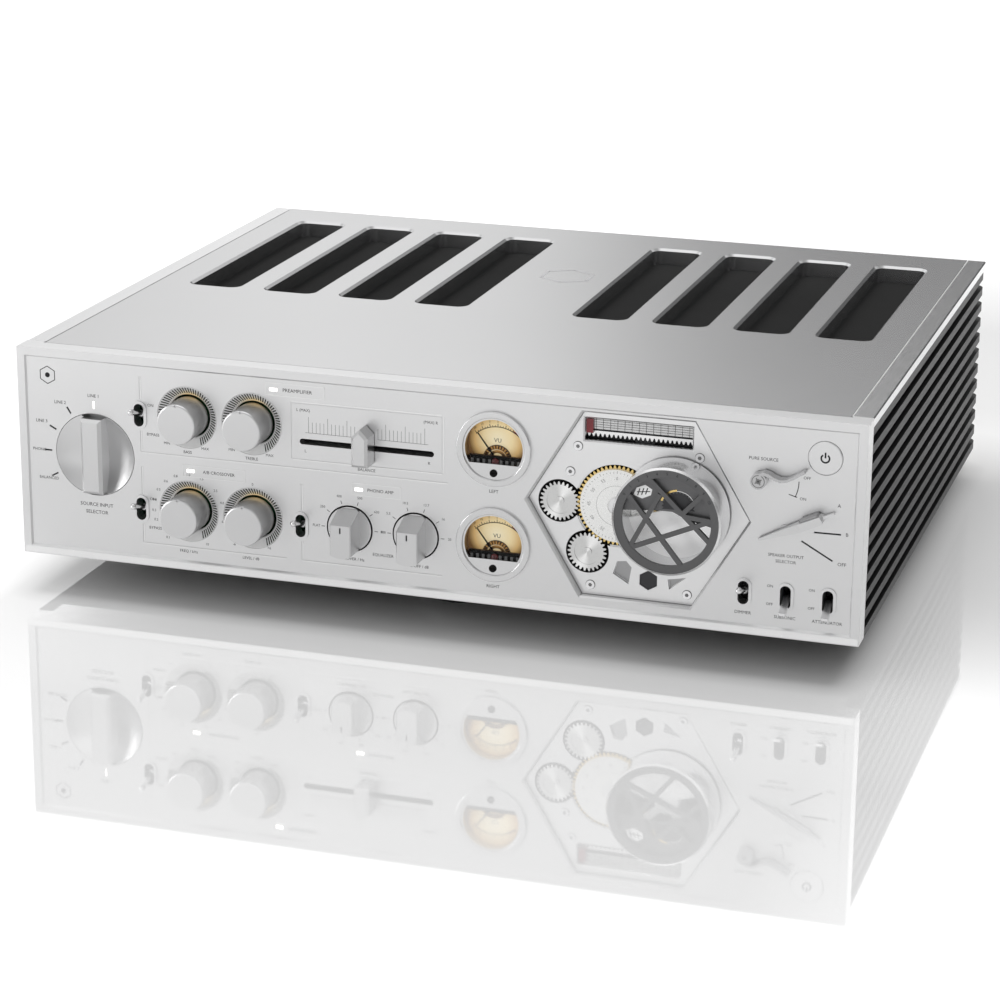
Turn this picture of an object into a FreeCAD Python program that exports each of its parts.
import FreeCAD, Part
import Sketcher
import math
import os

V = FreeCAD.Vector
R_ = FreeCAD.Rotation
P_ = FreeCAD.Placement

# ---------------------------------------------------------------------------
# Power amplifier with an integrated control fascia.
# Frame: +Z up, fascia facing -Y, origin at the centre of the footprint box on
# the surface that the amplifier stands on.
#
# Two working frames are used.
#   case frame : x across, y = depth behind the fascia's front face, z = height
#   front frame: u across, v = height, w = distance in front of the fascia
# Both are turned into the part frame by the sub-part's Placement.
# ---------------------------------------------------------------------------

doc = FreeCAD.newDocument("power_amplifier")
sheet = doc.addObject("Spreadsheet::Sheet", "Dims")
_row = [0]


class Q(object):
    """A number that also carries the spreadsheet expression it comes from."""

    def __init__(self, value, text):
        self.v = float(value)
        self.text = text

    @staticmethod
    def of(other):
        return other if isinstance(other, Q) else Q(other, "(%.9g)" % float(other))

    def __add__(self, other):
        o = Q.of(other)
        return Q(self.v + o.v, "(%s + %s)" % (self.text, o.text))

    def __radd__(self, other):
        return Q.of(other) + self

    def __sub__(self, other):
        o = Q.of(other)
        return Q(self.v - o.v, "(%s - %s)" % (self.text, o.text))

    def __rsub__(self, other):
        return Q.of(other) - self

    def __mul__(self, other):
        o = Q.of(other)
        return Q(self.v * o.v, "(%s * %s)" % (self.text, o.text))

    def __rmul__(self, other):
        return Q.of(other) * self

    def __truediv__(self, other):
        o = Q.of(other)
        return Q(self.v / o.v, "(%s / %s)" % (self.text, o.text))

    def __neg__(self):
        return Q(-self.v, "(0 - %s)" % self.text)


def num(a):
    return a.v if isinstance(a, Q) else float(a)


def dim(alias, value, note=""):
    _row[0] += 1
    sheet.set("A%d" % _row[0], alias)
    sheet.set("B%d" % _row[0], "%.9g" % value)
    sheet.set("C%d" % _row[0], note)
    sheet.setAlias("B%d" % _row[0], alias)
    return Q(value, "Dims." + alias)


# --- driving dimensions ------------------------------------------------------
case_w = dim("case_width", 430.0, "overall width of the fascia")
case_d = dim("case_depth", 350.0, "fascia front face to rear panel")
foot_ht = dim("foot_height", 18.0, "standing height under the body")
body_ht = dim("body_height", 108.0, "fascia height")
front_off = dim("front_offset", 178.5, "fascia front face ahead of the origin")
panel_th = dim("panel_thickness", 8.0, "fascia plate")
panel_deep = dim("panel_side_depth", 13.0, "depth of the fascia's side cheeks")
wall_back = dim("panel_wall_depth", 25.0, "depth of the fascia's inner walls")
rim_w = dim("rim_width", 4.1, "raised border of the fascia")
field_dp = dim("field_depth", 0.9, "sunk field behind the border")
wall_th = dim("wall_thickness", 4.0, "fascia top and bottom walls")
cheek_w = dim("cheek_width", 10.0, "fascia cheek and top rail width")
cover_th = dim("cover_thickness", 4.0, "top cover plate")
cover_boss = dim("cover_boss_depth", 6.0, "thicker part of the cover round the vents")
cover_front = dim("cover_front", 11.3, "cover front edge behind the fascia face")
gap = dim("seam_gap", 0.3, "seam round the cover")
vent_w = dim("vent_width", 27.6, "vent well width")
vent_y0 = dim("vent_front", 151.5, "vent front end")
vent_y1 = dim("vent_rear", 320.0, "vent rear end")
vent_r = dim("vent_corner", 5.0, "vent corner radius")
vent_pitch = dim("vent_pitch", 43.0, "vent centre spacing")
vent_first = dim("vent_first", 43.6, "first vent centre from the middle")
sink_d = dim("sink_depth", 24.0, "heat sink depth")
sink_base = dim("sink_base", 6.0, "heat sink root plate")
sink_fins = dim("sink_fins", 12, "number of fins")
fin_th = dim("fin_thickness", 4.3, "fin thickness")
sheet_th = dim("base_thickness", 2.0, "chassis base sheet")
rear_th = dim("rear_thickness", 3.0, "rear panel")
hex_hw = dim("hex_half_width", 54.6, "hexagonal aperture half width, corner to corner")
hex_hh = dim("hex_half_height", 45.9, "hexagonal aperture half height")
hex_te = dim("hex_half_edge", 27.2, "hexagonal aperture half length of its level edges")
hex_u = dim("hex_u", 105.9, "hexagon centre across")
hex_v = dim("hex_v", 73.3, "hexagon centre height")
hex_dp = dim("hex_depth", 5.0, "gear plate behind the fascia face")
hexp_th = dim("hex_plate_thickness", 3.0, "gear plate")
gmod = dim("gear_module", 0.7, "gear module")
z_ring = dim("ring_teeth", 55, "ring gear teeth")
z_small = dim("small_teeth", 26, "small gear teeth")
z_rackp = dim("rack_pinion_teeth", 23, "rack pinion teeth")
z_whl = dim("wheel_pinion_teeth", 28, "wheel pinion teeth")
whl_u = dim("wheel_u", 124.3, "volume wheel axis across")
whl_v = dim("wheel_v", 74.3, "volume wheel axis height")
whl_r = dim("wheel_radius", 26.4, "volume wheel outer radius")
whl_ri = dim("wheel_inner_radius", 22.4, "volume wheel inner radius")
whl_front = dim("wheel_front", 15.0, "wheel front ahead of the fascia")
dial_r = dim("dial_radius", 15.7, "tone dial ring outer radius")
dial_ri = dim("dial_inner_radius", 11.1, "tone dial ring bore")
tone_r = dim("tone_knob_radius", 10.15, "tone knob radius")
tone_front = dim("tone_knob_front", 13.2, "tone knob front ahead of the fascia")
tone_u1 = dim("tone_u_a", -124.0, "tone knob column")
tone_u2 = dim("tone_u_b", -89.7, "tone knob column")
row_hi = dim("row_upper", 97.2, "upper control row height")
row_lo = dim("row_lower", 48.7, "lower control row height")
eq_r = dim("eq_knob_radius", 11.2, "equaliser knob radius")
eq_hole = dim("eq_hole_radius", 12.0, "equaliser opening radius")
eq_front = dim("eq_knob_front", 13.0, "equaliser knob front")
eq_bar = dim("eq_bar_width", 10.8, "equaliser grip width")
eq_u1 = dim("eq_u_a", -38.8, "equaliser knob across")
eq_u2 = dim("eq_u_b", -4.6, "equaliser knob across")
src_u = dim("source_u", -174.2, "source selector across")
src_v = dim("source_v", 73.2, "source selector height")
src_hole = dim("source_hole_radius", 21.4, "source selector opening")
src_r = dim("source_knob_radius", 21.1, "source selector disc")
src_bar = dim("source_bar_width", 11.2, "source selector bar")
src_front = dim("source_bar_front", 4.8, "bar ahead of the fascia")
shaft_r = dim("shaft_radius", 3.0, "control shaft radius")
run_gap = dim("running_gap", 0.05, "radial running clearance")
sl_u0 = dim("slider_u_a", -64.5, "slider slot left end")
sl_u1 = dim("slider_u_b", 4.7, "slider slot right end")
sl_v = dim("slider_v", 90.95, "slider slot height")
sl_h = dim("slider_slot", 2.9, "slider slot width")
met_u = dim("meter_u", 35.0, "meter centre across")
met_v1 = dim("meter_v_a", 96.9, "upper meter height")
met_v2 = dim("meter_v_b", 48.7, "lower meter height")
met_r = dim("meter_radius", 18.7, "meter bezel radius")
met_hole = dim("meter_hole_radius", 17.0, "meter opening in the fascia")
met_win = dim("meter_window_radius", 14.5, "meter window radius")
met_chord = dim("meter_chord", 7.6, "window chord below the centre")
met_piv = dim("meter_pivot", 6.9, "needle pivot below the centre")
ndl_len = dim("needle_length", 15.9, "needle length from the pivot")
sw_w = dim("switch_slot_width", 5.2, "switch slot width")
sw_h = dim("switch_slot_height", 11.6, "switch slot height")
pwr_u = dim("power_u", 195.4, "power button across")
pwr_v = dim("power_v", 108.1, "power button height")
pwr_r = dim("power_radius", 8.1, "power button radius")
pure_u = dim("pure_u", 165.2, "pure source lever pivot across")
pure_v = dim("pure_v", 95.3, "pure source lever pivot height")
spk_u = dim("speaker_u", 177.7, "speaker selector pivot across")
spk_v = dim("speaker_v", 71.6, "speaker selector pivot height")
lever_sh = dim("lever_shaft_radius", 2.5, "lever shaft radius")
foot_r = dim("foot_radius", 23.0, "foot radius")
doc.recompute()

# --- placements ------------------------------------------------------------
FRONT_ROT = R_(V(1, 0, 0), 90)
EXPORT = []


def case_place():
    return dict(x=0.0, y=-front_off, z=0.0, rot=R_())


def front_place(u=0.0, v=0.0):
    return dict(x=u, y=-front_off, z=v, rot=FRONT_ROT)


def place(obj, p):
    obj.Placement = P_(V(num(p["x"]), num(p["y"]), num(p["z"])), p["rot"])
    for ax in "xyz":
        if isinstance(p[ax], Q):
            obj.setExpression("Placement.Base." + ax, p[ax].text)


def bind(obj, prop, value):
    setattr(obj, prop, num(value))
    if isinstance(value, Q):
        obj.setExpression(prop, value.text)


def done(node, obj, p):
    obj.Label = node
    place(obj, p)
    EXPORT.append((node, obj))
    return obj


_n = [0]


def nm(stem):
    _n[0] += 1
    return "%s_%03d" % (stem, _n[0])


# --- Part primitives ---------------------------------------------------------
def box(x0, x1, y0, y1, z0, z1):
    o = doc.addObject("Part::Box", nm("Box"))
    bind(o, "Length", x1 - x0)
    bind(o, "Width", y1 - y0)
    bind(o, "Height", z1 - z0)
    place(o, dict(x=x0, y=y0, z=z0, rot=R_()))
    return o


def cyl(r, x, y, z0, z1, direction="z"):
    """Cylinder along z (from z0 to z1), or along y when direction is y:
    then the arguments are r, x, z, y0, y1."""
    o = doc.addObject("Part::Cylinder", nm("Cyl"))
    bind(o, "Radius", r)
    bind(o, "Height", z1 - z0)
    if direction == "z":
        place(o, dict(x=x, y=y, z=z0, rot=R_()))
    else:
        place(o, dict(x=x, y=z1, z=y, rot=R_(V(1, 0, 0), 90)))
    return o


def cone(r0, r1, x, y, z0, z1):
    o = doc.addObject("Part::Cone", nm("Cone"))
    bind(o, "Radius1", r0)
    bind(o, "Radius2", r1)
    bind(o, "Height", z1 - z0)
    place(o, dict(x=x, y=y, z=z0, rot=R_()))
    return o


def wedge(x0, x1, y0, y1, taper, z0, z1):
    """Rectangular prism whose +z face is smaller or larger by taper."""
    o = doc.addObject("Part::Wedge", nm("Wedge"))
    # the wedge tapers along its own y, which is turned to +z
    for prop, val in (("Xmin", x0), ("Xmax", x1), ("Zmin", -y1), ("Zmax", -y0),
                      ("Ymin", z0), ("Ymax", z1),
                      ("X2min", x0 + taper), ("X2max", x1 - taper),
                      ("Z2min", -y1 + taper), ("Z2max", -y0 - taper)):
        bind(o, prop, val)
    o.Placement = P_(V(0, 0, 0), R_(V(1, 0, 0), 90))
    return o


def prism(sides, r, x, y, z0, z1, turn=0.0):
    o = doc.addObject("Part::Prism", nm("Prism"))
    o.Polygon = sides
    bind(o, "Circumradius", r)
    bind(o, "Height", z1 - z0)
    place(o, dict(x=x, y=y, z=z0, rot=R_(V(0, 0, 1), turn)))
    return o


def sphere(r, x, y, z):
    o = doc.addObject("Part::Sphere", nm("Ball"))
    bind(o, "Radius", r)
    place(o, dict(x=x, y=y, z=z, rot=R_()))
    return o


def fuse(parts):
    if len(parts) == 1:
        return parts[0]
    o = doc.addObject("Part::MultiFuse", nm("Fuse"))
    o.Shapes = parts
    return o


def group(parts):
    o = doc.addObject("Part::Compound", nm("Group"))
    o.Links = parts
    return o


def cut(base, tools):
    o = doc.addObject("Part::Cut", nm("Cut"))
    o.Base = base
    o.Tool = fuse(tools)
    return o


def common(a, b):
    o = doc.addObject("Part::Common", nm("Common"))
    o.Base = a
    o.Tool = b
    return o


def edges_where(obj, test):
    doc.recompute()
    out = []
    for i, e in enumerate(obj.Shape.Edges):
        bb = e.BoundBox
        if test(e, bb):
            out.append(i + 1)
    return out


def chamfer(obj, size, test):
    idx = edges_where(obj, test)
    o = doc.addObject("Part::Chamfer", nm("Chamfer"))
    o.Base = obj
    o.Edges = [(i, num(size), num(size)) for i in idx]
    return o


def fillet(obj, size, test):
    idx = edges_where(obj, test)
    o = doc.addObject("Part::Fillet", nm("Fillet"))
    o.Base = obj
    o.Edges = [(i, num(size), num(size)) for i in idx]
    return o


def hexagon(shrink, z0, z1):
    """The hexagonal prism of the gear window, smaller all round by shrink."""
    hw, hh, te = hex_hw - shrink * 1.16, hex_hh - shrink, hex_te - shrink * 0.58
    return poly_solid([(hex_u + hw, hex_v), (hex_u + te, hex_v + hh), (hex_u - te, hex_v + hh),
                       (hex_u - hw, hex_v), (hex_u - te, hex_v - hh), (hex_u + te, hex_v - hh)], z0, z1)


def upright(e, bb):
    return bb.ZLength > 0.5 and bb.XLength < 1e-4 and bb.YLength < 1e-4


def stadium(w, h, u, v, w0, w1):
    """Upright slot shape of width w and height h centred on (u, v)."""
    r = w / 2
    return fuse([box(u - r, u + r, v - h / 2 + r, v + h / 2 - r, w0, w1),
                 cyl(r, u, v - h / 2 + r, w0, w1),
                 cyl(r, u, v + h / 2 - r, w0, w1)])


def bar_at(u0, v0, u1, v1, width, w0, w1):
    """Straight bar between two points of the front frame."""
    a0, b0, a1, b1 = num(u0), num(v0), num(u1), num(v1)
    ln = math.hypot(a1 - a0, b1 - b0)
    ang = math.degrees(math.atan2(b1 - b0, a1 - a0))
    o = doc.addObject("Part::Box", nm("Bar"))
    o.Length = ln
    bind(o, "Width", width)
    bind(o, "Height", w1 - w0)
    rot = R_(V(0, 0, 1), ang)
    off = rot.multVec(V(0, -num(width) / 2.0, 0))
    o.Placement = P_(V(a0 + off.x, b0 + off.y, num(w0)), rot)
    return o


def poly_solid(points, z0, z1):
    """Extruded polygon as a Part::Extrusion of a Part::Polygon outline."""
    pg = doc.addObject("Part::Polygon", nm("Outline"))
    pg.Nodes = [V(num(a), num(b), num(z0)) for a, b in points]
    pg.Close = True
    ex = doc.addObject("Part::Extrusion", nm("Extrude"))
    ex.Base = pg
    ex.Dir = V(0, 0, 1)
    ex.DirMode = "Custom"
    ex.Solid = True
    bind(ex, "LengthFwd", z1 - z0)
    return ex


# --- PartDesign helpers ------------------------------------------------------
def new_body(stem):
    return doc.addObject("PartDesign::Body", nm(stem))


def origin_item(body, role):
    for f in body.Origin.OriginFeatures:
        if f.Role == role:
            return f
    raise ValueError(role)


def sketch(body, role, polygons=(), circles=(), offset=0.0):
    sk = body.newObject("Sketcher::SketchObject", nm("Sketch"))
    sk.AttachmentSupport = [(origin_item(body, role), "")]
    sk.MapMode = "FlatFace"
    sk.AttachmentOffset = P_(V(0, 0, num(offset)), R_())
    if isinstance(offset, Q):
        sk.setExpression("AttachmentOffset.Base.z", offset.text)
    count = 0
    for pts in polygons:
        first = count
        geo = []
        k = len(pts)
        for i in range(k):
            a, b = pts[i], pts[(i + 1) % k]
            geo.append(Part.LineSegment(V(num(a[0]), num(a[1]), 0), V(num(b[0]), num(b[1]), 0)))
        sk.addGeometry(geo, False)
        for i in range(k):
            sk.addConstraint(Sketcher.Constraint("Coincident", first + i, 2, first + (i + 1) % k, 1))
        for i in range(k):
            for kind, c in (("DistanceX", pts[i][0]), ("DistanceY", pts[i][1])):
                n = sk.addConstraint(Sketcher.Constraint(kind, -1, 1, first + i, 1, num(c)))
                if isinstance(c, Q):
                    sk.setExpression("Constraints[%d]" % n, c.text)
        count += k
    for cu, cv, r in circles:
        g = sk.addGeometry(Part.Circle(V(num(cu), num(cv), 0), V(0, 0, 1), num(r)), False)
        n = sk.addConstraint(Sketcher.Constraint("Radius", g, num(r)))
        if isinstance(r, Q):
            sk.setExpression("Constraints[%d]" % n, r.text)
        for kind, c in (("DistanceX", cu), ("DistanceY", cv)):
            n = sk.addConstraint(Sketcher.Constraint(kind, -1, 1, g, 3, num(c)))
            if isinstance(c, Q):
                sk.setExpression("Constraints[%d]" % n, c.text)
        count += 1
    return sk


def pad(body, sk, length):
    p = body.newObject("PartDesign::Pad", nm("Pad"))
    p.Profile = sk
    bind(p, "Length", length)
    sk.Visibility = False
    body.Tip = p
    return p


def pocket(body, sk, length, reverse=False):
    """Pocket that must really remove material, so the volumes are compared."""
    doc.recompute()
    before = body.Shape.Volume
    p = body.newObject("PartDesign::Pocket", nm("Pocket"))
    p.Profile = sk
    bind(p, "Length", length)
    p.Reversed = reverse
    body.Tip = p
    doc.recompute()
    if body.Shape.Volume > before - 1e-3:
        p.Reversed = not reverse
        doc.recompute()
        if body.Shape.Volume > before - 1e-3:
            raise RuntimeError("pocket removes nothing: " + p.Name)
    return p


def revolve(body, pts):
    """Full turn about the body's own z axis; pts are (radius, z)."""
    sk = sketch(body, "XZ_Plane", [pts])
    r = body.newObject("PartDesign::Revolution", nm("Revolve"))
    r.Profile = sk
    r.ReferenceAxis = (sk, ["V_Axis"])
    r.Angle = 360.0
    body.Tip = r
    return r


def polar(body, feature, count):
    p = body.newObject("PartDesign::PolarPattern", nm("Polar"))
    p.Originals = [feature]
    p.Axis = (origin_item(body, "Z_Axis"), [""])
    p.Angle = 360.0
    p.Occurrences = int(num(count))
    if isinstance(count, Q):
        p.setExpression("Occurrences", count.text)
    body.Tip = p
    return p


# --- gears -------------------------------------------------------------------
PRESS = math.radians(20.0)
ADD, DED, THIN = 0.9, 1.25, 0.07


def inv(a):
    return math.tan(a) - a


def tooth(z, phase, module=None):
    """Corner points of one involute tooth centred on the angle phase (deg)."""
    m = num(gmod)
    r = m * z / 2.0
    rb = r * math.cos(PRESS)
    rt = r + ADD * m
    rr = r - DED * m
    psi = (math.pi * m / 2.0 - THIN) / (2.0 * r) + inv(PRESS)
    right = []
    right.append((rr - 0.35, psi))
    if rb > rr:
        right.append((rb, psi))
        lo = rb
    else:
        lo = rr
        right.append((rr, psi - inv(math.acos(min(1.0, rb / rr)))))
    for k in range(1, 6):
        q = lo + (rt - lo) * k / 5.0
        right.append((q, psi - inv(math.acos(rb / q))))
    ph = math.radians(phase)
    pts = [(q * math.cos(ph - a), q * math.sin(ph - a)) for q, a in right]
    pts += [(q * math.cos(ph + a), q * math.sin(ph + a)) for q, a in reversed(right)]
    return pts


def gear_body(stem, z, phase, w0, w1):
    """Toothed disc from w0 to w1 along z; z is the tooth count from the sheet."""
    b = new_body(stem)
    root = gmod * z / 2 - gmod * DED
    base = pad(b, sketch(b, "XY_Plane", circles=[(0, 0, root)], offset=w0), w1 - w0)
    t = pad(b, sketch(b, "XY_Plane", [tooth(int(num(z)), phase)], offset=w0), w1 - w0)
    polar(b, t, z)
    return b


def pitch_deg(z):
    return 360.0 / num(z)


def mesh_phase(phase_a, z_a, toward, z_b):
    """Phase of gear b so that it is in mesh with gear a, with b lying in the
    direction toward (deg) from a."""
    f = ((toward - phase_a) / pitch_deg(z_a)) % 1.0
    return toward + 180.0 + (f + 0.5) * pitch_deg(z_b)


def polar_point(u, v, dist, deg):
    a = math.radians(deg)
    return num(u) + num(dist) * math.cos(a), num(v) + num(dist) * math.sin(a)


DIR_RING = 181.8
DIR_S1 = 180.7
DIR_S2 = 239.9
DIR_RP = 64.86
ring_c = polar_point(whl_u, whl_v, gmod * (z_whl + z_ring) / 2, DIR_RING)
s1_c = polar_point(ring_c[0], ring_c[1], gmod * (z_small + z_ring) / 2, DIR_S1)
s2_c = polar_point(ring_c[0], ring_c[1], gmod * (z_small + z_ring) / 2, DIR_S2)
rp_c = polar_point(ring_c[0], ring_c[1], gmod * (z_rackp + z_ring) / 2, DIR_RP)
PH_RING = 3.0
PH_WHL = mesh_phase(PH_RING, z_ring, DIR_RING - 180.0, z_whl)
PH_S1 = mesh_phase(PH_RING, z_ring, DIR_S1, z_small)
PH_S2 = mesh_phase(PH_RING, z_ring, DIR_S2, z_small)
PH_RP = mesh_phase(PH_RING, z_ring, DIR_RP, z_rackp)
rack_pitch_v = rp_c[1] + num(gmod) * num(z_rackp) / 2.0

# ===========================================================================
# 1. CASE
# ===========================================================================
half = case_w / 2
top_z = foot_ht + body_ht
inner_x = half - sink_d - 0.5

# --- fascia ----------------------------------------------------------------
switch_pos = [(-149.6, 96.2), (-149.6, 47.5), (-64.4, 47.6), (158.9, 38.5),
              (179.2, 38.2), (199.4, 38.0)]
slab = fuse([box(-half, half, foot_ht, top_z, -panel_deep, Q.of(0)),
             box(-half + cheek_w - 2.0, half - cheek_w + 2.0, foot_ht, top_z - wall_th - 0.8, -wall_back, -panel_deep + 1)])
hollow = box(-half + cheek_w, half - cheek_w, foot_ht + wall_th, top_z - wall_th,
             -wall_back - 1, -panel_th)
notch = box(-half + cheek_w - 0.3, half - cheek_w + 0.3, top_z - wall_th - 0.5, top_z + 1,
            -wall_back - 1, -cover_front + 0.3)
field = wedge(-half + rim_w + 0.8, half - rim_w - 0.8, foot_ht + rim_w + 0.8, top_z - rim_w - 0.8,
              -0.85, -field_dp, Q.of(0.0))
fascia = cut(slab, [hollow, notch, field])
lips = []
for u, v in switch_pos:
    lips.append(stadium(sw_w + 2.8, sw_h + 2.8, u, v, -field_dp - 0.5, -0.25))
fascia = fuse([fascia] + lips)
holes = [hexagon(0.0, -panel_th - 1, Q.of(1)),
         cyl(src_hole, src_u, src_v, -panel_th - 1, 1)]
for u in (tone_u1, tone_u2):
    for v in (row_hi, row_lo):
        holes.append(cyl(dial_r + 0.1, u, v, -panel_th - 1, 1))
for u in (eq_u1, eq_u2):
    holes.append(cyl(eq_hole, u, row_lo, -panel_th - 1, 1))
holes.append(fuse([box(sl_u0 + sl_h / 2, sl_u1 - sl_h / 2, sl_v - sl_h / 2, sl_v + sl_h / 2, -panel_th - 1, 1),
                   cyl(sl_h / 2, sl_u0 + sl_h / 2, sl_v, -panel_th - 1, 1),
                   cyl(sl_h / 2, sl_u1 - sl_h / 2, sl_v, -panel_th - 1, 1)]))
for v in (met_v1, met_v2):
    holes.append(cyl(met_hole, met_u, v, -panel_th - 1, 1))
for u, v in switch_pos:
    holes.append(stadium(sw_w, sw_h, u, v, -panel_th - 1, 1))
holes.append(cyl(pwr_r + 0.2, pwr_u, pwr_v, -panel_th - 1, 1))
holes.append(cyl(lever_sh + run_gap, pure_u, pure_v, -panel_th - 1, 1))
holes.append(cyl(lever_sh + run_gap, spk_u, spk_v, -panel_th - 1, 1))
# clearance pockets for the slider block and the hub bosses are behind the plate
fascia = cut(fascia, holes)

# engraved lines, 0.25 mm deep
gd = field_dp + 0.25
G = []


def line(u0, v0, u1, v1, width=0.55):
    G.append(bar_at(u0, v0, u1, v1, width, -gd, 1))


line(-149.0, 116.0, -149.0, 104.4)
line(-149.0, 88.2, -149.0, 77.4)
line(-149.3, 77.6, 12.0, 77.6)
line(-149.0, 69.7, -149.0, 55.4)
line(-149.0, 39.6, -149.0, 30.0)
line(-149.3, 30.2, -72.0, 30.2)
line(-63.9, 69.2, -63.9, 55.6)
line(-63.9, 39.6, -63.9, 29.9)
line(-64.2, 30.1, 9.0, 30.1)
# slider scale box
line(-68.7, 110.2, 8.9, 110.2, 0.45)
line(-68.7, 82.0, 8.9, 82.0, 0.45)
line(-68.7, 110.4, -68.7, 81.8, 0.45)
line(8.9, 110.4, 8.9, 81.8, 0.45)
# source marks
for deg in (90, 122, 152, 180, 209):
    a = math.radians(deg)
    line(num(src_u) + 23.6 * math.cos(a), num(src_v) + 23.6 * math.sin(a),
         num(src_u) + 27.8 * math.cos(a), num(src_v) + 27.8 * math.sin(a), 0.9)
# speaker selector marks
line(191.2, 71.7, 204.4, 71.9, 0.8)
line(185.4, 67.0, 201.0, 58.4, 0.8)
fascia = cut(fascia, G)


def hex_edge(e, bb):
    mid = (bb.XMin + bb.XMax) / 2.0, (bb.YMin + bb.YMax) / 2.0
    d = math.hypot(mid[0] - num(hex_u), mid[1] - num(hex_v))
    return bb.ZLength < 1e-4 and abs(bb.ZMax + num(field_dp)) < 1e-3 and 40 < d < 54 and e.Length > 50


fascia = chamfer(fascia, 0.9, hex_edge)
done("front_panel", fascia, front_place())

# --- top cover -------------------------------------------------------------
cov_w = case_w / 2 - cheek_w - 0.5
plate = box(-cov_w, cov_w, cover_front, case_d, top_z - cover_th, top_z)
boss = box(-(inner_x - 0.5), inner_x - 0.5, wall_back + 2, case_d - rear_th - 1,
           top_z - cover_th - cover_boss, top_z - cover_th)
cover = fuse([plate, boss])
wells = []
for side in (-1, 1):
    for k in range(4):
        cx = (vent_first + vent_pitch * k) * side
        b = box(cx - vent_w / 2, cx + vent_w / 2, vent_y0, vent_y1,
                top_z - cover_th - cover_boss - 1, top_z + 1)
        wells.append(fillet(b, vent_r, upright))
cover = cut(cover, wells)


def well_rim(e, bb):
    if bb.ZLength > 1e-4 or abs(bb.ZMax - num(top_z)) > 1e-3:
        return False
    return (bb.YMin > num(vent_y0) - 0.01 and bb.YMax < num(vent_y1) + 0.01
            and max(abs(bb.XMin), abs(bb.XMax)) < 195)


cover = chamfer(cover, 1.3, well_rim)
done("top_cover", cover, case_place())

# --- mesh under the vents ------------------------------------------------------
mesh_top = top_z - cover_th - cover_boss
mesh = box(-(inner_x - 0.5), inner_x - 0.5, vent_y0 - 8, vent_y1 + 8, mesh_top - 0.8, mesh_top)
slits = []
for side in (-1, 1):
    for k in range(4):
        cx = (vent_first + vent_pitch * k) * side
        for j in range(5):
            x0 = cx - 11.5 + 5.0 * j
            slits.append(box(x0, x0 + 3.0, vent_y0 + 4, vent_y1 - 4, mesh_top - 2, mesh_top + 1))
mesh = cut(mesh, [group(slits)])
done("vent_mesh", mesh, case_place())

# --- top rails -----------------------------------------------------------------
for side, node in ((-1, "left_top_rail"), (1, "right_top_rail")):
    if side < 0:
        b = box(-half, -half + cheek_w, panel_deep, case_d, top_z - wall_th - 0.5, top_z)
    else:
        b = box(half - cheek_w, half, panel_deep, case_d, top_z - wall_th - 0.5, top_z)
    s = side

    def outer(e, bb, s=s):
        return (bb.YLength > 100 and abs(bb.ZMax - num(top_z)) < 1e-3 and bb.ZLength < 1e-4
                and abs(bb.XMax - s * num(half)) < 1e-3)
    done(node, chamfer(b, 0.6, outer), case_place())

# --- heat sinks -------------------------------------------------------------------
sink_z0 = foot_ht
sink_z1 = top_z - wall_th - 0.5
sink_h = sink_z1 - sink_z0
sink_y0 = panel_deep + 0.4
fin_pitch = (sink_h - fin_th) / (sink_fins - 1)
for side, node in ((-1, "left_heatsink"), (1, "right_heatsink")):
    b = new_body("Sink")
    xin, xout = (half - sink_d) * side, half * side
    rc = 7.0
    arc = []
    for k in range(7):
        a = math.radians(90.0 * k / 6.0)
        arc.append(((half - rc + rc * math.cos(a)) * side, case_d - rc + rc * math.sin(a)))
    xs = (half - cheek_w + 2.4) * side
    outline = [(xin, wall_back + 0.4), (xs, wall_back + 0.4), (xs, sink_y0), (xout, sink_y0)] + arc + [(xin, case_d)]
    p = pad(b, sketch(b, "XY_Plane", [outline], offset=sink_z0), sink_h)
    # one gap between fins, repeated upwards
    xb = (half - sink_d + sink_base) * side
    xo = (half + 1) * side
    gap_poly = [(xb, sink_y0 - 1), (xo, sink_y0 - 1), (xo, case_d + 1), (xb, case_d + 1)]
    gs = sketch(b, "XY_Plane", [gap_poly], offset=sink_z0 + fin_th)
    gp = pocket(b, gs, fin_pitch - fin_th, True)
    lp = b.newObject("PartDesign::LinearPattern", nm("Fins"))
    lp.Originals = [gp]
    lp.Direction = (origin_item(b, "Z_Axis"), [""])
    lp.Length = num(fin_pitch * (sink_fins - 2))
    lp.setExpression("Length", (fin_pitch * (sink_fins - 2)).text)
    lp.Occurrences = int(num(sink_fins) - 1)
    lp.setExpression("Occurrences", "Dims.sink_fins - 1")
    b.Tip = lp
    done(node, b, case_place())

# --- chassis base ----------------------------------------------------------------
foot_xy = [(0.0, 62.0), (-150.0, 300.0), (150.0, 300.0)]
base = box(-inner_x, inner_x, wall_back + 0.3, case_d - rear_th, foot_ht, foot_ht + sheet_th)
base = cut(base, [cyl(2.1, x, y, foot_ht - 1, foot_ht + sheet_th + 1) for x, y in foot_xy])
done("chassis_base", base, case_place())

# --- feet ---------------------------------------------------------------------------
for (x, y), node in zip(foot_xy, ("front_foot", "rear_left_foot", "rear_right_foot")):
    b = new_body("Foot")
    prof = [(0, 0), (foot_r - 6, 0), (foot_r - 3.4, 1.2), (foot_r - 1.2, 4.0), (foot_r, 8.0),
            (foot_r, foot_ht - 3), (foot_r - 1.0, foot_ht - 2), (foot_r - 1.0, foot_ht), (0, foot_ht)]
    revolve(b, prof)
    p = case_place()
    p["x"] = x
    p["y"] = Q.of(y) - front_off
    done(node, b, p)

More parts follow.
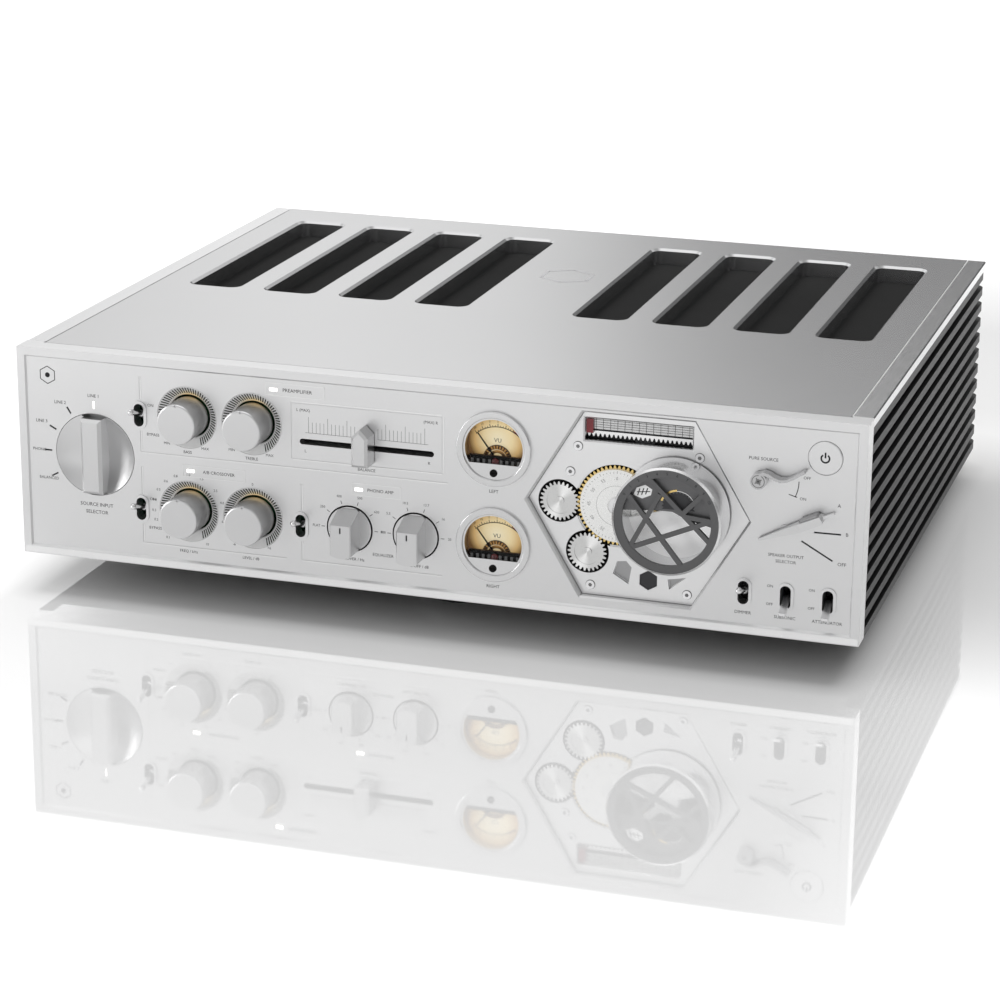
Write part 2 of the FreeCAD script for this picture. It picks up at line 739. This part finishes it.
# --- rear panel -----------------------------------------------------------------------
post_xz = [(x, z) for x in (-172, -146, 146, 172) for z in (44, 72)]
rear_screw = [(x, z) for x in (-186, 0, 186) for z in (26.0, 114.0)]
jack_xz = [(-100 + 17 * i, z) for i in range(8) for z in (92, 72)]
rear = box(-inner_x, inner_x, case_d - rear_th, case_d, foot_ht + 0.2, top_z - cover_th - 0.3)
rt = []
for x, z in post_xz:
    rt.append(cyl(3.5, x, z, case_d - rear_th - 1, case_d + 1, "y"))
for x, z in jack_xz:
    rt.append(cyl(3.2, x, z, case_d - rear_th - 1, case_d + 1, "y"))
rt.append(box(56.2, 83.8, case_d - rear_th - 1, case_d + 1, 34.2, 53.8))
rt.append(box(90.0, 103.0, case_d - rear_th - 1, case_d + 1, 33.0, 55.0))
for x, z in rear_screw:
    rt.append(cyl(1.25, x, z, case_d - rear_th - 1, case_d + 1, "y"))
rear = cut(rear, rt)
done("rear_panel", rear, case_place())

# --- screws: gear plate screws and rear panel screws --------------------------------------
hex_screw = [(75.6, 101.2), (72.0, 88.3), (135.0, 101.1), (82.9, 32.4), (130.7, 32.5)]
S = []
for u, v in hex_screw:
    head = cut(cyl(2.15, u, v, -hex_dp, -hex_dp + 0.6), [prism(6, 1.0, u, v, -hex_dp + 0.1, -hex_dp + 1)])
    S.append(fuse([head, cyl(1.2, u, v, -hex_dp - 6, -hex_dp)]))
for x, z in rear_screw:
    w = -case_d
    head = cut(cyl(2.9, x, z, w - 1.6, w), [prism(6, 1.5, x, z, w - 2.5, w - 0.7)])
    S.append(fuse([head, cyl(1.2, x, z, w, w + rear_th + 5)]))
done("case_screws", group(S), front_place())

# ===========================================================================
# 2. GEAR WINDOW
# ===========================================================================
gp0, gp1 = -hex_dp - hexp_th, -hex_dp
win = (78.6, 131.2, 104.4, 115.4)
gplate = hexagon(0.2, gp0, gp1)
cuts = [cyl(20.8, ring_c[0], ring_c[1], gp0 - 1, gp1 + 1),
        cyl(10.7, s1_c[0], s1_c[1], gp0 - 1, gp1 + 1),
        cyl(10.7, s2_c[0], s2_c[1], gp0 - 1, gp1 + 1),
        cyl(20.4, whl_u, whl_v, gp0 - 1, gp1 + 1),
        box(win[0], win[1], win[2], win[3], gp0 - 1, gp1 + 1),
        poly_solid([(95.9, 45.6), (100.4, 46.2), (103.1, 43.2), (101.7, 34.6), (93.9, 39.2)], gp1 - 1.8, gp1 + 1),
        poly_solid([(121.0, 39.2), (121.8, 34.2), (130.0, 40.9)], gp1 - 1.8, gp1 + 1),
        prism(6, 5.0, 111.5, 37.6, gp1 - 2.2, gp1 + 1, 30.0)]
for u, v in hex_screw:
    cuts.append(cyl(1.22, u, v, gp0 - 1, gp1 + 1))
gplate = cut(gplate, cuts)


def plate_rim(e, bb):
    return bb.ZLength < 1e-4 and abs(bb.ZMax - num(gp1)) < 1e-3 and e.Length > 40 and e.Length < 60 \
        and abs(e.Curve.TypeId == "Part::GeomLine")


def win_rim(e, bb):
    return (bb.ZLength < 1e-4 and abs(bb.ZMax - num(gp1)) < 1e-3 and bb.XMin > win[0] - 0.01
            and bb.XMax < win[1] + 0.01 and bb.YMin > win[2] - 0.01 and bb.YMax < win[3] + 0.01
            and (bb.XLength < 1e-4 or bb.YLength < 1e-4))


gplate = chamfer(gplate, 0.7, win_rim)
done("hex_gear_plate", gplate, front_place())

# fixed graduated plate behind the upper part of the window
rk_front = -hex_dp - hexp_th - 1.3
scale_bot = rack_pitch_v + 3.3
sc = box(win[0] - 1.5, win[1] + 1.5, scale_bot, 117.0, -8.8, -8.2)
ticks = []
for i in range(27):
    u = 83.2 + 1.8 * i
    long = (i % 5 == 0)
    ticks.append(box(u, u + 0.25, (scale_bot + 1.0) if long else (scale_bot + 2.6), 115.0, -8.35, -8.0))
sc = cut(sc, [group(ticks)])
done("volume_scale_plate", sc, front_place())

# rack with teeth pointing down
pm = math.pi * num(gmod)
phase_f = ((90.0 - PH_RP) / pitch_deg(z_rackp)) % 1.0
tooth_u = rp_c[0] + (phase_f + 0.5) * pm
rk_u0, rk_u1 = 56.5, 134.2
tip_v = rack_pitch_v - ADD * num(gmod)
root_v = rack_pitch_v + DED * num(gmod)
ht = (pm / 2.0 - THIN) / 2.0
tan = math.tan(PRESS)
pts = [(rk_u0, root_v + 2.6), (rk_u0, root_v)]
k0 = int(math.ceil((rk_u0 + 1.2 - tooth_u) / pm))
k1 = int(math.floor((rk_u1 - 1.2 - tooth_u) / pm))
for k in range(k0, k1 + 1):
    c = tooth_u + k * pm
    pts += [(c - ht - DED * num(gmod) * tan, root_v), (c - ht + ADD * num(gmod) * tan, tip_v),
            (c + ht - ADD * num(gmod) * tan, tip_v), (c + ht + DED * num(gmod) * tan, root_v)]
pts += [(rk_u1, root_v), (rk_u1, root_v + 2.6)]
rb_ = new_body("Rack")
pad(rb_, sketch(rb_, "XY_Plane", [pts], offset=-11.3), 2.0)
done("volume_rack", rb_, front_place())
idx = fuse([box(79.0, 82.3, root_v + 0.7, 114.6, -7.6, -6.7),
            box(79.0, 82.3, root_v + 0.7, root_v + 2.0, -9.3, -7.6)])
done("rack_index", idx, front_place())

# volume wheel: rim, skeleton face, inner web with hub, shaft with pinion
wf = whl_front
b = new_body("Rim")
revolve(b, [(whl_ri, -3.8), (whl_r - 0.5, -3.8), (whl_r, -3.3), (whl_r, wf - 0.9), (whl_r - 0.9, wf),
            (whl_r - 1.0, wf), (whl_r - 1.0, wf - 2.3), (whl_ri, wf - 2.3)])
done("volume_wheel_rim", b, front_place(whl_u, whl_v))

spokes = [((-18.6, 11.3), (6.3, -19.3), 1), ((-3.4, 13.2), (-16.1, -11.5), 1), ((-7.0, 18.6), (19.7, -7.1), 1),
          ((-14.3, -13.3), (21.4, 2.3), 1), ((7.6, 4.6), (15.2, 12.7), 1), ((8.6, 3.5), (21.4, 2.3), 1)]
sp = []
for (a0, b0), (a1, b1), _k in spokes:
    ln = math.hypot(a1 - a0, b1 - b0)
    ex = 5.0
    e0 = ex if math.hypot(a0, b0) > 15 else 0.0
    e1 = ex if math.hypot(a1, b1) > 15 else 0.0
    du, dv = (a1 - a0) / ln, (b1 - b0) / ln
    sp.append(bar_at(a0 - du * e0, b0 - dv * e0, a1 + du * e1, b1 + dv * e1, 2.2, wf - 2.3, wf - 0.5))
sp_all = common(fuse(sp), cyl(22.9, 0, 0, wf - 5, wf + 1))
ring_ = cut(cyl(whl_r - 1.03, 0, 0, wf - 2.3, wf - 0.3), [cyl(21.6, 0, 0, wf - 4, wf + 1)])
grille = fuse([ring_, common(sp_all, cyl(whl_ri - 0.05, 0, 0, wf - 5, wf + 1))])
done("volume_wheel_grille", grille, front_place(whl_u, whl_v))

web = common(cyl(whl_ri - 0.01, 0, 0, -2.6, -1.0),
             poly_solid([(-24, -5.5), (-13, -2.2), (-4.2, 0.8), (-1.0, -0.6), (17, -5.4), (24, -7.2),
                         (24, -24), (-24, -24)], Q.of(-3), Q.of(0)))
hub = cyl(6.0, 0, 0, -8.3, -1.0)
bars = [bar_at(0, 0, 25 * math.cos(a), 25 * math.sin(a), 4.0, -2.6, -1.0)
        for a in (math.radians(52), math.radians(137))]
bars = common(fuse(bars), cyl(whl_ri - 0.01, 0, 0, -5, 0))
web = cut(fuse([web, hub, bars]), [cyl(4.02, 0, 0, -9, -1.6)])
done("volume_wheel_web", web, front_place(whl_u, whl_v))

pin = gear_body("WheelPinion", z_whl, PH_WHL, Q.of(-12.0), Q.of(-8.6))
pad(pin, sketch(pin, "XY_Plane", circles=[(0, 0, 4.0)], offset=Q.of(-22.0)), 20.4)
done("wheel_shaft_pinion", pin, front_place(whl_u, whl_v))

# ring gear with a plain front disc
rg = gear_body("RingGear", z_ring, PH_RING, Q.of(-12.2), Q.of(-5.4))
pad(rg, sketch(rg, "XY_Plane", circles=[(0, 0, 18.1)], offset=Q.of(-5.5)), 1.3)
pocket(rg, sketch(rg, "XY_Plane", circles=[(0, 0, 3.0 + num(run_gap))], offset=Q.of(-13.0)), 7.0, True)
pocket(rg, sketch(rg, "XY_Plane", circles=[(0, 0, 4.6)], offset=Q.of(-4.2)), 0.5)
done("ring_gear", rg, front_place(ring_c[0], ring_c[1]))

for node, c, ph in (("upper_small_gear", s1_c, PH_S1), ("lower_small_gear", s2_c, PH_S2)):
    g = gear_body("SmallGear", z_small, ph, Q.of(-7.6), Q.of(-4.4))
    pocket(g, sketch(g, "XY_Plane", circles=[(0, 0, 1.5 + num(run_gap))], offset=Q.of(-8.0)), 3.2, True)
    pocket(g, sketch(g, "XY_Plane", circles=[(0, 0, 6.4)], offset=Q.of(-4.4)), 0.4)
    pad(g, sketch(g, "XY_Plane", circles=[(0, 0, 2.2)], offset=Q.of(-5.0)), 0.8)
    done(node, g, front_place(c[0], c[1]))

g = gear_body("RackPinion", z_rackp, PH_RP, Q.of(-12.0), Q.of(-9.1))
pocket(g, sketch(g, "XY_Plane", circles=[(0, 0, 2.0 + num(run_gap))], offset=Q.of(-12.5)), 2.6, True)
done("rack_pinion", g, front_place(rp_c[0], rp_c[1]))

# gear carrier: rear plate with the gear pins, posts, rack guide and bearing boss
gc = box(54.0, 203.0, 25.0, 118.0, -16.0, -14.0)
adds = [cyl(3.0, ring_c[0], ring_c[1], -14.5, -6.3), cyl(1.5, s1_c[0], s1_c[1], -14.5, -5.2),
        cyl(1.5, s2_c[0], s2_c[1], -14.5, -5.2), cyl(2.0, rp_c[0], rp_c[1], -14.5, -10.2),
        cyl(6.5, ring_c[0], ring_c[1], -14.5, -12.5), cyl(4.0, s1_c[0], s1_c[1], -14.5, -7.9),
        cyl(4.0, s2_c[0], s2_c[1], -14.5, -7.9), cyl(4.0, rp_c[0], rp_c[1], -14.5, -12.3),
        cyl(9.0, whl_u, whl_v, -21.5, -12.3),
        box(62.0, 150.0, root_v + 2.9, root_v + 5.4, -14.5, -9.3)]
for u, v in hex_screw:
    adds.append(cyl(2.8, u, v, -14.5, -8.0))
for u, v in ((pure_u, pure_v), (spk_u, spk_v), (pwr_u, pwr_v)):
    adds.append(cyl(5.0, u, v, -19.0, -11.0 if u is not pwr_u else -14.5))
for u, v in switch_pos[3:]:
    adds.append(box(u - 4.2, u + 4.2, v - 6.5, v + 6.5, -14.5, -12.6))
gc = fuse([gc] + adds)
gcut = [cyl(4.0 + num(run_gap), whl_u, whl_v, -23, -5),
        cyl(lever_sh + run_gap, pure_u, pure_v, -16.2, -5), cyl(lever_sh + run_gap, spk_u, spk_v, -16.2, -5),
        cyl(2.5 + num(run_gap), pwr_u, pwr_v, -23, -5)]
for u, v in hex_screw:
    gcut.append(cyl(1.22, u, v, -11.5, -7.5))
gc = cut(gc, gcut)
done("gear_carrier", gc, front_place())

# ===========================================================================
# 3. CONTROLS
# ===========================================================================
# source selector: flush disc with two finger scoops and a standing bar
disc = cyl(src_r, 0, 0, -7.6, -field_dp + 0.1)
disc = cut(disc, [sphere(48.0, 0, 0, 42.4)])
bar = box(-src_bar / 2, src_bar / 2, Q.of(-19.4), Q.of(19.4), Q.of(-7.6), src_front)


def bar_top(e, bb):
    return bb.ZLength < 1e-4 and bb.ZMax > 4.0


bar = chamfer(bar, 1.6, bar_top)
knob = fuse([disc, bar])
knob = cut(knob, [box(-6.6, 6.6, 19.4, 22.5, -6.4, 1), box(-6.6, 6.6, -22.5, -19.4, -6.4, 1)])
knob = fuse([knob, cyl(shaft_r, 0, 0, -17.0, -7.0)])
done("source_selector_knob", knob, front_place(src_u, src_v))

# tone knobs and their dial rings
tone = [("bass_knob", tone_u1, row_hi), ("treble_knob", tone_u2, row_hi),
        ("crossover_knob", tone_u1, row_lo), ("crossover_level_knob", tone_u2, row_lo)]
for node, u, v in tone:
    b = new_body("ToneKnob")
    tf = tone_front
    revolve(b, [(0, -17.0), (shaft_r, -17.0), (shaft_r, -4.2), (tone_r - 0.6, -4.2), (tone_r, -3.6), (tone_r, tf - 0.8),
                (tone_r - 0.25, tf - 0.25), (tone_r - 0.8, tf), (0, tf)])
    ns = sketch(b, "XY_Plane", [[(-0.6, 9.0), (0.6, 9.0), (0.6, 10.7), (-0.6, 10.7)]], offset=tf)
    pocket(b, ns, 0.7)
    done(node, b, front_place(u, v))
rings = []
for node, u, v in tone:
    r_ = cut(cyl(dial_r, u, v, -7.6, -field_dp), [cone(dial_ri, dial_r - 0.3, u, v, -4.2, -field_dp + 0.0)])
    r_ = cut(r_, [cyl(dial_ri, u, v, -9, 0)])
    rings.append(r_)
done("tone_dial_rings", group(rings), front_place())

# equaliser knobs
for node, u in (("turnover_knob", eq_u1), ("rolloff_knob", eq_u2)):
    base_ = cyl(eq_r, 0, 0, Q.of(-6.0), Q.of(-0.6))
    grip = common(cyl(eq_r, 0, 0, Q.of(-3.0), eq_front),
                  box(-eq_bar / 2, eq_bar / 2, Q.of(-12), Q.of(12), Q.of(-3.0), eq_front))

    def grip_top(e, bb):
        return bb.ZLength < 1e-4 and bb.ZMax > num(eq_front) - 0.01
    # the upper end of the grip slopes down to the disc
    ramp = poly_solid([(2.0, 14.0), (13.0, 14.0), (13.0, -0.6), (10.6, -0.6), (5.6, 13.01)], Q.of(-8.0), Q.of(8.0))
    ramp.Placement = P_(V(0, 0, 0), R_(V(1, 1, 1), 120))
    grip = cut(grip, [ramp])
    grip = chamfer(grip, 0.5, lambda e, bb: grip_top(e, bb) and bb.YLength > 5)
    k = fuse([base_, grip, cyl(shaft_r, 0, 0, Q.of(-17.0), Q.of(-5.0))])
    k = cut(k, [box(-0.4, 0.4, 1.6, 4.6, eq_front - 0.4, eq_front + 1)])
    done(node, k, front_place(u, row_lo))

# balance slider: house-shaped cap with a stem through the slot
cap_u = (sl_u0 + sl_u1) / 2
b = new_body("SliderCap")
pad(b, sketch(b, "XY_Plane", [[(-4.15, -7.2), (4.15, -7.2), (4.15, 7.6), (0, 11.8), (-4.15, 7.6)]], offset=Q.of(-0.4)), 10.6)
doc.recompute()
ce = [("Edge%d" % (i + 1)) for i, e in enumerate(b.Shape.Edges)
      if e.BoundBox.ZLength < 1e-4 and e.BoundBox.ZMax > 10.0]
cap_pad = b.Tip
ch = b.newObject("PartDesign::Chamfer", nm("CapBevel"))
ch.Base = (cap_pad, ce)
ch.Size = 1.3
b.Tip = ch
pad(b, sketch(b, "XY_Plane", [[(-2.5, -1.15), (2.5, -1.15), (2.5, 1.15), (-2.5, 1.15)]], offset=Q.of(-13.0)), 12.8)
done("balance_slider_cap", b, front_place(cap_u, sl_v))
fd = cut(box(sl_u0 - 7, sl_u1 + 7, sl_v - 6, sl_v + 6, -17.0, -9.0),
         [box(sl_u0 - 1, sl_u1 + 1, sl_v - 1.5, sl_v + 1.5, -14.0, -8.0)])
done("balance_fader", fd, front_place())

# meters
bez, dia, mov, len_ = [], [], [], []
for v in (met_v1, met_v2):
    flange = cut(cyl(met_r, met_u, v, -field_dp, Q.of(0.7)), [cyl(met_r - 3.3, met_u, v, -0.3, 2)])

    def lip(e, bb):
        return bb.ZLength < 1e-4 and bb.ZMax > 0.6
    flange = fillet(flange, 0.6, lip)
    sleeve = cut(cyl(met_hole - 0.1, met_u, v, Q.of(-7.6), -field_dp), [cyl(met_win + 0.5, met_u, v, -9, -2.4)])
    keep = cut(cyl(met_win, met_u, v, Q.of(-4), Q.of(2)), [box(met_u - 20, met_u + 20, v - 20, v - met_chord, Q.of(-5), Q.of(3))])
    bez.append(cut(fuse([flange, sleeve]), [keep, cyl(1.9, met_u, v - 12.1, -9, 2)]))
    len_.append(cut(cyl(met_win - 0.05, met_u, v, Q.of(-1.9), Q.of(-1.1)),
                    [box(met_u - 20, met_u + 20, v - 20, v - met_chord + 0.05, Q.of(-3), Q.of(0))]))
    dia.append(cut(cyl(met_win + 0.4, met_u, v, Q.of(-7.4), Q.of(-6.8)),
                   [box(met_u - 20, met_u + 20, v - 20, v - 5.4, Q.of(-9), Q.of(-5))]))
    can = cyl(13.0, met_u, v, -22.0, -7.6)
    strip = common(box(met_u - 13, met_u + 13, v - 9.9, v - 4.3, -4.6, -3.2), cyl(14.3, met_u, v, -6, 0))
    pegs = [cyl(1.0, met_u + s * 9.5, v - 7.2, -8.0, -4.0) for s in (-1, 1)]
    staff = cyl(0.6, met_u, v - met_piv, -6.9, -4.0)
    arch = cut(common(cyl(7.2, met_u, v - met_piv, -6.7, -5.9), box(met_u - 10, met_u + 10, v - met_piv - 1.5, v + 3, -8, -4)),
               [cyl(5.2, met_u, v - met_piv, -6.9, -5.0)])
    archleg = [box(met_u - 7.0, met_u - 5.4, v - met_piv - 1.5, v - met_piv + 0.2, -8.0, -5.9),
               box(met_u + 5.4, met_u + 7.0, v - met_piv - 1.5, v - met_piv + 0.2, -8.0, -5.9)]
    mov.append(fuse([can, strip, staff, arch] + pegs + archleg))
done("meter_bezels", group(bez), front_place())
done("meter_dials", group(dia), front_place())
done("meter_movements", group(mov), front_place())
done("meter_lenses", group(len_), front_place())
for node, v in (("left_meter_needle", met_v1), ("right_meter_needle", met_v2)):
    hubn = cut(cyl(1.7, 0, 0, -5.7, -4.9), [cyl(0.65, 0, 0, -7, -3)])
    arm = poly_solid([(-0.4, 1.2), (0.4, 1.2), (0.24, num(ndl_len)), (-0.24, num(ndl_len))], Q.of(-5.45), Q.of(-5.1))
    tail = box(-0.6, 0.6, -3.6, -1.2, -5.5, -5.1)
    nd = fuse([hubn, arm, tail])
    p = front_place(met_u, v - met_piv)
    p["rot"] = FRONT_ROT.multiply(R_(V(0, 0, 1), 37.0))
    done(node, nd, p)
zs = []
for v in (met_v1, met_v2):
    zs.append(cut(cyl(1.88, met_u, v - 12.1, -5.0, 0.1), [box(met_u - 1.3, met_u + 1.3, v - 12.4, v - 11.8, -0.4, 1)]))
done("meter_zero_screws", group(zs), front_place())

# bat toggles, pointing up at rest
TILT = 17.0
for node, (u, v) in zip(("tone_bypass_toggle", "crossover_toggle", "phono_toggle", "dimmer_toggle"), switch_pos[:4]):
    pivot = doc.addObject("Part::Cylinder", nm("Cyl"))
    pivot.Radius = 0.8
    pivot.Height = 4.4
    pivot.Placement = P_(V(-2.2, 0, 0), R_(V(0, 1, 0), 90))
    o = fuse([sphere(2.1, 0, 0, 0), cone(1.15, 1.6, 0, 0, 0, 14.0), sphere(1.6, 0, 0, 14.0), cyl(1.0, 0, 0, -6.0, 0), pivot])
    p = front_place(u, v)
    p["y"] = Q.of(4.2) - front_off
    # the lever leans up by the tilt
    p["rot"] = FRONT_ROT.multiply(R_(V(1, 0, 0), -TILT))
    done(node, o, p)

# paddle levers, pointing down at rest
for node, (u, v) in zip(("subsonic_lever", "attenuator_lever"), switch_pos[4:]):
    blade = box(-1.75, 1.75, -0.8, 0.8, 0.0, 15.4)

    def tipe(e, bb):
        return bb.ZLength < 1e-4 and bb.ZMax > 15.3
    blade = fillet(blade, 0.55, tipe)
    axle = doc.addObject("Part::Cylinder", nm("Cyl"))
    axle.Radius = 0.9
    axle.Height = 4.2
    axle.Placement = P_(V(-2.1, 0, 0), R_(V(0, 1, 0), 90))
    o = fuse([blade, axle, cyl(0.7, 0, 0, -3.2, 0)])
    p = front_place(u, v)
    p["y"] = Q.of(7.8) - front_off
    p["rot"] = FRONT_ROT.multiply(R_(V(1, 0, 0), 26.0))
    done(node, o, p)

# pure source lever: round cap and an S-shaped arm rising to the right
pl = new_body("PureLever")
pad(pl, sketch(pl, "XY_Plane", circles=[(0, 0, 3.9)], offset=Q.of(-0.4)), 4.8)
up, dn = [], []
spine = [(0.4, 3.2), (2.6, 4.2), (5.0, 3.5), (7.6, 2.1), (10.3, 1.3), (13.4, 1.7), (16.6, 3.3), (19.4, 5.2), (21.8, 6.6)]
for i, (uu, vv) in enumerate(spine):
    a_, b_ = spine[max(0, i - 1)], spine[min(len(spine) - 1, i + 1)]
    ln_ = math.hypot(b_[0] - a_[0], b_[1] - a_[1])
    nx, ny = -(b_[1] - a_[1]) / ln_, (b_[0] - a_[0]) / ln_
    hw = 0.78 - 0.025 * i
    up.append((uu + nx * hw, vv + ny * hw))
    dn.append((uu - nx * hw, vv - ny * hw))
pad(pl, sketch(pl, "XY_Plane", [dn + up[::-1]], offset=Q.of(-0.2)), 5.6)
pad(pl, sketch(pl, "XY_Plane", circles=[(0, 0, lever_sh)], offset=Q.of(-16.0)), 16.0)
doc.recompute()
done("pure_source_lever", pl, front_place(pure_u, pure_v))

# speaker selector: tapered wedge pointer, aimed at the upper mark
A_DEG = 25.0
sl = new_body("SpeakerLever")
pad(sl, sketch(sl, "XY_Plane", [[(-13.5, -0.45), (0, -1.5), (9.0, -2.0), (19.6, -1.9), (20.8, -0.7), (25.6, -0.45), (25.6, 0.45),
                              (20.8, 0.7), (19.6, 1.9), (9.0, 2.0), (0, 1.5), (-13.5, 0.45)]], offset=Q.of(-0.4)), 7.4)
# the tail ramps up from the fascia and the nose is low
doc.recompute()
wg = sketch(sl, "XZ_Plane", [[(-15.0, 0.8), (-15.0, 9.0), (9.0, 9.0), (9.0, 6.8), (7.0, 6.4)]], offset=Q.of(-6.0))
pocket(sl, wg, 12.0, True)
ng = sketch(sl, "XZ_Plane", [[(20.2, 2.6), (20.2, 9.0), (27.0, 9.0), (27.0, 1.8)]], offset=Q.of(-6.0))
pocket(sl, ng, 12.0, True)
pad(sl, sketch(sl, "XY_Plane", circles=[(0, 0, lever_sh)], offset=Q.of(-16.0)), 16.0)
p = front_place(spk_u, spk_v)
p["rot"] = FRONT_ROT.multiply(R_(V(0, 0, 1), A_DEG))
done("speaker_selector_lever", sl, p)

# power button
b = new_body("PowerButton")
revolve(b, [(0, -17.0), (2.5, -17.0), (2.5, -6.0), (pwr_r, -6.0), (pwr_r, -0.75), (pwr_r - 0.45, -0.3), (0, -0.3)])
done("power_button", b, front_place(pwr_u, pwr_v))

# ===========================================================================
# 4. INSIDE
# ===========================================================================
# control board with the potentiometer, selector and switch bodies soldered on
cb = box(-200.0, 14.0, 24.0, 118.0, -21.6, -20.0)
pots = []
cbh = []
for u, v in [(src_u, src_v), (tone_u1, row_hi), (tone_u2, row_hi), (tone_u1, row_lo), (tone_u2, row_lo),
             (eq_u1, row_lo), (eq_u2, row_lo)]:
    pots.append(cyl(7.5, u, v, -20.5, -11.0))
    cbh.append(cyl(shaft_r + run_gap, u, v, -17.3, -10.0))
for u, v in switch_pos[:3]:
    pots.append(box(u - 4.5, u + 4.5, v - 6.5, v + 6.5, -20.5, -12.6))
cb = fuse([cb] + pots)
cb = cut(cb, cbh + [box(sl_u0 - 7.5, sl_u1 + 7.5, sl_v - 6.5, sl_v + 6.5, -17.2, -8.0)])
done("control_board", cb, front_place())

# toroidal transformer
tb = fuse([cut(cyl(62.0, 0, 115.0, 20.0, 64.0), [cyl(18.0, 0, 115.0, 10, 100)]), cyl(17.9, 0, 115.0, 20.0, 62.0),
           cyl(30.0, 0, 115.0, 62.0, 66.0)])
tb = cut(tb, [cyl(4.0, 0, 115.0, 10, 100)])


def toroid_rim(e, bb):
    return e.Length > 380 and bb.ZLength < 1e-4


tb = fillet(tb, 9.0, lambda e, bb: e.Length > 380 and bb.ZLength < 1e-4 and bb.ZMax > 60)
done("toroidal_transformer", tb, case_place())

# amplifier board on stand-offs, with reservoir capacitors standing on it
ab = [box(-182.0, 182.0, 192.0, 335.0, 25.0, 26.6)]
for x in (-174.0, 0.0, 174.0):
    for y in (200.0, 327.0):
        ab.append(cyl(3.5, x, y, 20.0, 25.2))
for x in (-165.0, -120.0, 85.0, 130.0):
    ab.append(box(x, x + 34.0, 262.0, 292.0, 26.0, 44.0))
for x in (-150.0, -110.0, -70.0, 50.0, 90.0, 130.0):
    ab.append(box(x, x + 20.0, 303.0, 320.0, 26.0, 40.0))
done("amplifier_board", fuse(ab), case_place())
caps = []
for x in (-92.0, -54.0, 54.0, 92.0):
    c = cyl(16.0, x, 222.0, 26.6, 86.0)
    caps.append(chamfer(c, 1.2, lambda e, bb: bb.ZLength < 1e-4 and bb.ZMax > 80))
done("filter_capacitors", group(caps), case_place())

# ===========================================================================
# 5. REAR CONNECTORS
# ===========================================================================
posts = []
for x, z in post_xz:
    w = -case_d
    body_ = fuse([cyl(7.0, x, z, w - 3.0, w), cyl(4.0, x, z, w - 9.0, w - 3.0), cyl(6.2, x, z, w - 22.0, w - 8.0),
                  cyl(3.45, x, z, w, w + 14.0)])
    grip_cuts = []
    for k in range(12):
        a = math.radians(30.0 * k)
        grip_cuts.append(cyl(0.7, x + 6.4 * math.cos(a), z + 6.4 * math.sin(a), w - 21.0, w - 9.0))
    posts.append(cut(body_, grip_cuts + [cyl(2.0, x, z, w - 23, w - 12)]))
done("speaker_terminals", group(posts), front_place())
jacks = []
for x, z in jack_xz:
    w = -case_d
    jacks.append(cut(fuse([cyl(6.0, x, z, w - 1.2, w), cyl(4.15, x, z, w - 9.5, w - 1.0), cyl(3.15, x, z, w, w + 12.0)]),
                     [cut(cyl(3.2, x, z, w - 10.0, w - 1.5), [cyl(2.6, x, z, w - 9.0, w)]), cyl(1.5, x, z, w - 10, w - 2)]))
done("input_jacks", group(jacks), front_place())

# mains inlet: a hollow with three blades, and the rocker switch beside it
w = -case_d
inl = cut(fuse([box(54.0, 86.0, 32.0, 56.0, w - 2.0, w), box(56.4, 83.6, 34.4, 53.6, w, w + 20.0)]),
          [box(58.5, 81.5, 36.5, 51.5, w - 3.0, w + 15.0)])
blades = [box(62.0, 64.0, 41.0, 45.0, w + 4.5, w + 16.0), box(76.0, 78.0, 41.0, 45.0, w + 4.5, w + 16.0),
          box(69.0, 71.0, 44.5, 48.5, w + 4.5, w + 16.0)]
sw = cut(box(88.6, 104.4, 31.6, 56.4, w + rear_th, w + 16.0), [box(90.0, 103.0, 33.0, 55.0, w + 1.0, w + 13.0)])
link = box(83.0, 89.2, 40.0, 48.0, w + rear_th, w + 8.0)
done("mains_inlet", fuse([inl, sw, link] + blades), front_place())
rpin = doc.addObject("Part::Cylinder", nm("Cyl"))
rpin.Radius = 1.0
rpin.Height = 12.7
rpin.Placement = P_(V(-6.35, 0, 0), R_(V(0, 1, 0), 90))
rk = fuse([box(-6.0, 6.0, -9.6, 9.6, -2.2, 3.4), box(-1.4, 1.4, -3.0, 3.0, 3.0, 8.0), rpin])
rp = front_place(96.5, 44.0)
rp["y"] = Q.of(0) + case_d - front_off - 0.4
rp["rot"] = FRONT_ROT.multiply(R_(V(1, 0, 0), 8.0))
done("mains_rocker", rk, rp)

# ---------------------------------------------------------------------------
doc.recompute()
bad = []
for o in doc.Objects:
    st = [s_ for s_ in o.State if s_ in ("Invalid", "Error")]
    if st:
        bad.append((o.Name, st))
if bad:
    raise RuntimeError("failed objects: %r" % bad)
names = [n_ for n_, _o in EXPORT]
if len(names) != len(set(names)) or len(names) > 60:
    raise RuntimeError("node list: %d names, %d distinct" % (len(names), len(set(names))))
os.makedirs("parts", exist_ok=True)
for f in os.listdir("parts"):
    if f.endswith(".step") and f[:-5] not in names:
        os.remove(os.path.join("parts", f))
for node, o in EXPORT:
    sh = o.Shape
    if sh.isNull() or not sh.isValid() or not sh.Solids:
        raise RuntimeError("bad shape: " + node)
    if o.Label != node:
        raise RuntimeError("label changed: " + node)
    sh.exportStep("parts/%s.step" % node)
    bb = sh.BoundBox
    print("%-24s solids %2d faces %4d vol %10.1f  x %7.1f..%7.1f y %7.1f..%7.1f z %6.1f..%6.1f" % (
        node, len(sh.Solids), len(sh.Faces), sh.Volume, bb.XMin, bb.XMax, bb.YMin, bb.YMax, bb.ZMin, bb.ZMax))
print("nodes", len(names))
print("ring", ring_c, "s1", s1_c, "s2", s2_c, "rackpinion", rp_c, "rack pitch", rack_pitch_v)
